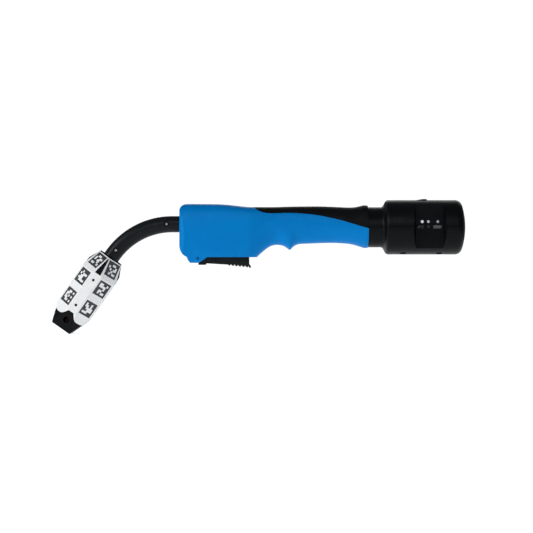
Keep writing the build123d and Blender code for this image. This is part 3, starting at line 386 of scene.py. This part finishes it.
slotFinish = {
    "blue_shell": "blueShell", "soft_grip": "softGrip", "black_shell": "blackShell",
    "neck_black": "neckBlack", "label_white": "labelFilm", "steel": "brightSteel",
    "screw_black": "screwBlack", "spring_steel": "springSteel", "brass": "yellowBrass",
    "copper": "redCopper", "aluminium": "bareAluminium", "seal_rubber": "sealRubber",
    "switch_black": "switchBlack", "plunger_red": "plungerRed", "board_green": "circuitBoard",
    "battery_foil": "batteryFoil", "foam": "padFoam", "cable_sheath": "cableSheath",
    # lamp_clear lenses take the dim painted highlight glow
    "lamp_clear": "dimPaintedGlint", "chip_white": "connectorWhite", "can_steel": "canSteel",
    "connector_white": "connectorWhite"}
for name, piece in nodes.items():
    for slot in piece.material_slots:
        slot.material = finishes[slotFinish[slot.material.name.split(".")[0]]]
own = {
    "trigger": "triggerBlack", "trigger_pin": "blueShell", "contact_tip": "sootyCopper",
    "tip_holder": "sootyCopper", "nozzle_ring": "sootyCopper"}
# the three status lenses take their painted highlight glows
own.update({name: look["finish"] for name, look in glintLenses.items()})
for name, finish in own.items():
    for slot in nodes[name].material_slots:
        slot.material = finishes[finish]
print("carried pieces painted")


def screwSpots(nodeName, axis):
    # one entry for each screw: top of its head, its direction, its radius and its length
    axis = Vector(axis)
    endBand = 0.3e-3   # how near an end a corner counts as on it
    mesh = bmesh.new()
    mesh.from_mesh(nodes[nodeName].data)
    bmesh.ops.remove_doubles(mesh, verts=mesh.verts, dist=1e-6)
    seen = set()
    spots = []
    for first in mesh.verts:   # in the mesh's own order, so that every run turns the same screw the same way
        if first in seen:
            continue
        seen.add(first)
        part = [first]
        for corner in part:
            for edge in corner.link_edges:
                other = edge.other_vert(corner)
                if other not in seen:
                    seen.add(other)
                    part.append(other)
        heights = [v.co.dot(axis) for v in part]
        low, high = min(heights), max(heights)
        middle = sum((v.co for v in part), Vector()) / len(part)
        centre = middle - axis * middle.dot(axis)

        def reach(level):
            near = [v.co - axis * v.co.dot(axis) - centre
                    for v in part if abs(v.co.dot(axis) - level) < endBand]
            return max((p.length for p in near), default=0)
        up = reach(high) >= reach(low)
        top = centre + axis * (high if up else low)
        spots.append((top, axis if up else -axis, max(reach(high), reach(low)), high - low))
    mesh.free()
    return spots


def screwTree():
    # a cap screw with a hexagon socket, standing on every point and turned to the point's axis
    tree = bpy.data.node_groups.new("capScrews", "GeometryNodeTree")
    face = tree.interface
    face.new_socket("Geometry", in_out="INPUT", socket_type="NodeSocketGeometry")
    for label, amount in (("headRadius", 0.002), ("headHeight", 0.0015), ("socketRadius", 0.001),
                          ("socketDepth", 0.001), ("shankRadius", 0.001), ("shankLength", 0.006),
                          ("edgeRound", 0.0002)):
        face.new_socket(label, in_out="INPUT", socket_type="NodeSocketFloat").default_value = amount
    face.new_socket("finish", in_out="INPUT", socket_type="NodeSocketMaterial")
    face.new_socket("seed", in_out="INPUT", socket_type="NodeSocketInt").default_value = 4
    face.new_socket("Geometry", in_out="OUTPUT", socket_type="NodeSocketGeometry")
    start = tree.nodes.new("NodeGroupInput")
    end = tree.nodes.new("NodeGroupOutput")

    def add(kind, settings=None, inputs=None):
        node = tree.nodes.new(kind)
        for key, value in (settings or {}).items():
            setattr(node, key, value)
        for key, value in (inputs or {}).items():
            if isinstance(value, bpy.types.NodeSocket):
                tree.links.new(value, node.inputs[key])
            else:
                node.inputs[key].default_value = value
        return node

    def sums(operation, first, second):
        return add("ShaderNodeMath", {"operation": operation}, {0: first, 1: second}).outputs[0]

    def lifted(shape, height):
        offset = add("ShaderNodeCombineXYZ", {}, {"Z": height}).outputs[0]
        return add("GeometryNodeTransform", {}, {"Geometry": shape, "Translation": offset}).outputs[0]

    size = start.outputs
    flank = add("GeometryNodeMeshCylinder", {}, {
        "Vertices": 40, "Radius": size["headRadius"],
        "Depth": sums("SUBTRACT", size["headHeight"], size["edgeRound"])})
    crown = add("GeometryNodeMeshCone", {}, {
        "Vertices": 40, "Radius Bottom": size["headRadius"],
        "Radius Top": sums("SUBTRACT", size["headRadius"], size["edgeRound"]), "Depth": size["edgeRound"]})
    half = sums("MULTIPLY", sums("ADD", size["headHeight"], size["edgeRound"]), -0.5)
    head = add("GeometryNodeMeshBoolean", {"operation": "UNION", "solver": "EXACT"})
    tree.links.new(lifted(flank.outputs["Mesh"], half), head.inputs["Mesh 2"])
    under = sums("MULTIPLY", size["edgeRound"], -1.0)
    tree.links.new(lifted(crown.outputs["Mesh"], under), head.inputs["Mesh 2"])
    hexagon = add("GeometryNodeMeshCylinder", {}, {
        "Vertices": 6, "Radius": size["socketRadius"], "Depth": sums("MULTIPLY", size["socketDepth"], 2.0)})
    bored = add("GeometryNodeMeshBoolean", {"operation": "DIFFERENCE", "solver": "EXACT"}, {
        "Mesh 1": head.outputs["Mesh"]})
    tree.links.new(hexagon.outputs["Mesh"], bored.inputs["Mesh 2"])
    shank = add("GeometryNodeMeshCylinder", {}, {
        "Vertices": 24, "Radius": size["shankRadius"], "Depth": size["shankLength"]})
    drop = sums("SUBTRACT", sums("MULTIPLY", size["shankLength"], -0.5), size["headHeight"])
    whole = add("GeometryNodeJoinGeometry")
    tree.links.new(bored.outputs["Mesh"], whole.inputs[0])
    tree.links.new(lifted(shank.outputs["Mesh"], drop), whole.inputs[0])
    axis = add("GeometryNodeInputNamedAttribute", {"data_type": "FLOAT_VECTOR"}, {"Name": "axis"})
    turn = add("FunctionNodeAlignRotationToVector", {"axis": "Z"}, {"Vector": axis.outputs["Attribute"]})
    spin = add("FunctionNodeRandomValue", {"data_type": "FLOAT"}, {2: 0.0, 3: 1.0, "Seed": size["seed"]})
    twist = add("FunctionNodeAxisAngleToRotation", {}, {"Axis": (0, 0, 1), "Angle": spin.outputs[1]})
    turned = add("FunctionNodeRotateRotation", {"rotation_space": "LOCAL"}, {
        "Rotation": turn.outputs[0], "Rotate By": twist.outputs[0]})
    copies = add("GeometryNodeInstanceOnPoints", {}, {
        "Points": size["Geometry"], "Instance": whole.outputs[0], "Rotation": turned.outputs[0]})
    real = add("GeometryNodeRealizeInstances", {}, {"Geometry": copies.outputs[0]})
    painted = add("GeometryNodeSetMaterial", {}, {"Geometry": real.outputs[0], "Material": size["finish"]})
    tree.links.new(painted.outputs[0], end.inputs[0])
    return tree


screws = {
    "neck_screws": dict(axis=(0, 1, 0), finish="brightSteel", slot="steel",
                        headHeight=0.0019, socket=0.38, shank=0.58),
    "head_screws": dict(axis=(0, 1, 0), finish="screwBlack", slot="screw_black",
                        headHeight=0.0014, socket=0.50, shank=0.70),
    "handle_screws": dict(axis=(0, 1, 0), finish="screwBlack", slot="screw_black",
                          headHeight=0.0024, socket=0.46, shank=0.52),
    "rear_shell_screws": dict(axis=(0, 0, 1), finish="screwBlack", slot="screw_black",
                              headHeight=0.0024, socket=0.46, shank=0.52),
}


def makeScrews(nodeName, look, tree):
    spots = screwSpots(nodeName, look["axis"])
    radius = min(s[2] for s in spots)
    length = min(s[3] for s in spots)
    mesh = bpy.data.meshes.new(nodeName + "Spots")
    mesh.from_pydata([s[0] for s in spots], [], [])
    way = mesh.attributes.new("axis", "FLOAT_VECTOR", "POINT")
    for spot, item in zip(spots, way.data):
        item.vector = spot[1]
    maker = bpy.data.objects.new(nodeName + "Spots", mesh)
    scene.collection.objects.link(maker)
    sizes = dict(headRadius=radius, headHeight=look["headHeight"], socketRadius=radius * look["socket"],
                 socketDepth=look["headHeight"] * 0.6, shankRadius=radius * look["shank"],
                 shankLength=length - look["headHeight"], edgeRound=radius * 0.14,
                 finish=finishes[look["finish"]], seed=4)
    modifier = maker.modifiers.new("capScrews", "NODES")
    modifier.node_group = tree
    for item in tree.interface.items_tree:
        if item.in_out == "INPUT" and item.name in sizes:
            modifier[item.identifier] = sizes[item.name]
    bpy.context.view_layer.update()
    made = bpy.data.meshes.new_from_object(maker.evaluated_get(bpy.context.evaluated_depsgraph_get()))
    maker.modifiers.clear()
    bpy.data.objects.remove(maker)
    piece = bpy.data.objects.new(nodeName + "Cap", made)
    scene.collection.objects.link(piece)
    made.shade_flat()
    if not made.materials:
        made.materials.append(finishes[look["finish"]])
    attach(piece, "torch")
    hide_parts(nodeName)
    print(nodeName, len(spots), "screws,", len(made.polygons), "faces,",
          "head radius %.2f mm, length %.2f mm" % (radius * 1000, length * 1000))


capScrews = screwTree()
for nodeName, look in screws.items():
    makeScrews(nodeName, look, capScrews)


paleFloor = dict(half=0.75, drop=0.0005, shadow=(0.90, 0.90, 0.90), light=(0.93, 0.93, 0.93), glow=0.78)
studio = dict(backdrop=1.05, skyLight=0.16, skyTint=(0.97, 0.985, 1.0))
softBoxes = {
    "frontSoftBox": dict(place=(0.05, -1.7, 0.95), aim=(0.2, 0, 0.07), size=(1.2, 0.8), power=7),
    "sideSoftBox": dict(place=(-1.15, -0.85, 0.85), aim=(0.15, 0, 0.07), size=(0.5, 0.7), power=13),
    "stripLight": dict(place=(-0.9, -0.30, 0.10), aim=(0.2, 0, 0.08), size=(0.12, 0.7), power=2.2),
    "backSoftBox": dict(place=(0.5, 1.4, 0.9), aim=(0.2, 0, 0.07), size=(1.3, 0.8), power=5),
}


def floorMaterial():
    shade = Shade("paleFloor")
    soft = shade.noise(0.08, 3.0)
    tone = shade.blend(soft, solid(paleFloor["shadow"]), solid(paleFloor["light"]))
    return shade.finish(**{"Base Color": tone, "Roughness": 0.75 + soft * 0.1, "Specular IOR Level": 0.1,
                           "Emission Color": tone, "Emission Strength": paleFloor["glow"]})


def makeFloor():
    half = paleFloor["half"]
    low = cadBox[0].z - paleFloor["drop"]
    corners = [(-half, -half, low), (half, -half, low), (half, half, low), (-half, half, low)]
    mesh = bpy.data.meshes.new("paleFloor")
    mesh.from_pydata(corners, [], [(0, 1, 2, 3)])
    floor = bpy.data.objects.new("paleFloor", mesh)
    mesh.materials.append(floorMaterial())
    scene.collection.objects.link(floor)


def makeWorld():
    world = bpy.data.worlds.new("studio")
    world.use_nodes = True
    tree = world.node_tree
    tree.nodes.clear()
    rays = tree.nodes.new("ShaderNodeLightPath")
    seen = tree.nodes.new("ShaderNodeBackground")
    lit = tree.nodes.new("ShaderNodeBackground")
    mix = tree.nodes.new("ShaderNodeMixShader")
    out = tree.nodes.new("ShaderNodeOutputWorld")
    seen.inputs["Color"].default_value = (1, 1, 1, 1)
    seen.inputs["Strength"].default_value = studio["backdrop"]
    lit.inputs["Color"].default_value = solid(studio["skyTint"])
    lit.inputs["Strength"].default_value = studio["skyLight"]
    tree.links.new(rays.outputs["Is Camera Ray"], mix.inputs[0])
    tree.links.new(lit.outputs[0], mix.inputs[1])
    tree.links.new(seen.outputs[0], mix.inputs[2])
    tree.links.new(mix.outputs[0], out.inputs[0])
    scene.world = world


makeFloor()
makeWorld()
for name, look in softBoxes.items():
    addSoftBox(name, look)
print("floor and lights placed")

bpy.context.view_layer.update()
